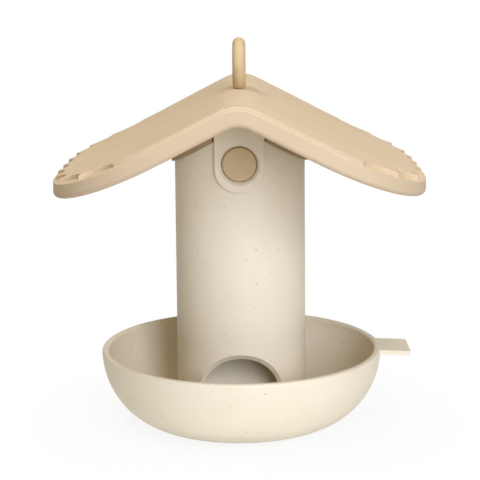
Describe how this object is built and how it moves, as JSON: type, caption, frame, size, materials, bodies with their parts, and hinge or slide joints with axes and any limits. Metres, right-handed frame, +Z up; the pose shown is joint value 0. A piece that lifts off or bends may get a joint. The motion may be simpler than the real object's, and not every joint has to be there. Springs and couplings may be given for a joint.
{
  "type": "bird feeder",
  "caption": "Hanging seed feeder: scalloped gable roof on a round seed column with arched outlets and a bowl tray; side push buttons free the roof for filling.",
  "frame": {"origin": "middle of the tray's flat base, where the feeder stands", "axes": "+Z up, +X towards the tray's grip tab, -Y towards the front, ridge along Y"},
  "size_m": [0.188, 0.2024, 0.204],
  "materials": {
    "tan_plastic": "matte tan moulded plastic",
    "latch_plastic": "matte darker tan moulded plastic",
    "cream_plastic": "matte cream moulded plastic with fine dark specks",
    "steel": "plain stainless steel"
  },
  "bodies": {
    "base": {"tray": "cream_plastic", "foot_screws": "steel", "seed_deflector": "cream_plastic", "column": "cream_plastic"},
    "roof": {"roof_shell": "tan_plastic", "hanging_eye": "tan_plastic", "eye_washer": "steel", "eye_screw": "steel", "latch_collar": "latch_plastic", "collar_screws": "steel", "latch_cover": "latch_plastic", "cover_screws": "steel", "front_spring": "steel", "rear_spring": "steel"},
    "front_button": {"front_button": "tan_plastic"},
    "rear_button": {"rear_button": "tan_plastic"}
  },
  "joints": [
    {"name": "roof_lift", "type": "slide", "parent": "base", "child": "roof", "axis": [0, 0, 1], "range_m": [0, 0.21]},
    {"name": "front_button_press", "type": "slide", "parent": "roof", "child": "front_button", "axis": [0, 1, 0], "range_m": [0, 0.0044], "stiffness_N_per_m": 600, "springref_m": -0.004, "deforming": ["front_spring"]},
    {"name": "rear_button_press", "type": "slide", "parent": "roof", "child": "rear_button", "axis": [0, -1, 0], "range_m": [0, 0.0044], "stiffness_N_per_m": 600, "springref_m": -0.004, "deforming": ["rear_spring"]}
  ]
}
